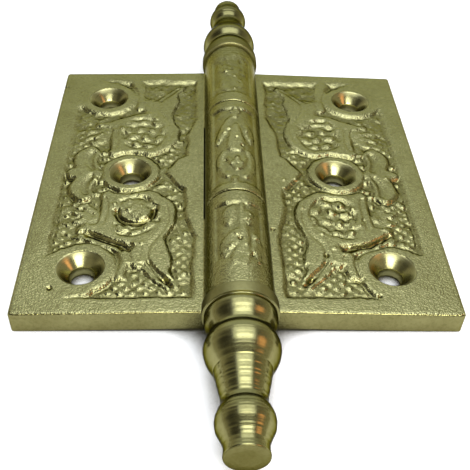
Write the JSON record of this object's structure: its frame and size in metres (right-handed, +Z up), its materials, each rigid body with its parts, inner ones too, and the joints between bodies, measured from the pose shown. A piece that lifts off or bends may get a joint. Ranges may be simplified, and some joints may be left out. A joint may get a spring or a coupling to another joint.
{
  "type": "decorative butt hinge",
  "caption": "Cast brass butt hinge with scroll-ornamented leaves, a knuckled barrel and turned steeple finials on a removable pin.",
  "frame": {"origin": "middle of the base the open hinge lies on, straight under the barrel's axis at mid-length", "axes": "+Y along the barrel to the upper finial, +X out over the right leaf, +Z up, out of the ornamented faces"},
  "size_m": [0.0888, 0.1546, 0.0148],
  "materials": {
    "cast_brass": "satin cast, burnished on the relief",
    "turned_brass": "polished, with fine turning lines"
  },
  "bodies": {
    "left_leaf": {"left_leaf": "cast_brass"},
    "right_leaf": {"right_leaf": "cast_brass"},
    "pin": {"hinge_pin": "turned_brass", "upper_finial": "turned_brass", "lower_finial": "turned_brass"}
  },
  "joints": [
    {"name": "leaf_fold", "type": "hinge", "parent": "left_leaf", "child": "right_leaf", "pos_m": [0, 0, 0.0074], "axis": [0, -1, 0], "range_deg": [-92.5, 186.5]},
    {"name": "pin_spin", "type": "hinge", "parent": "left_leaf", "child": "pin", "pos_m": [0, 0, 0.0074], "axis": [0, 1, 0], "continuous": true}
  ]
}
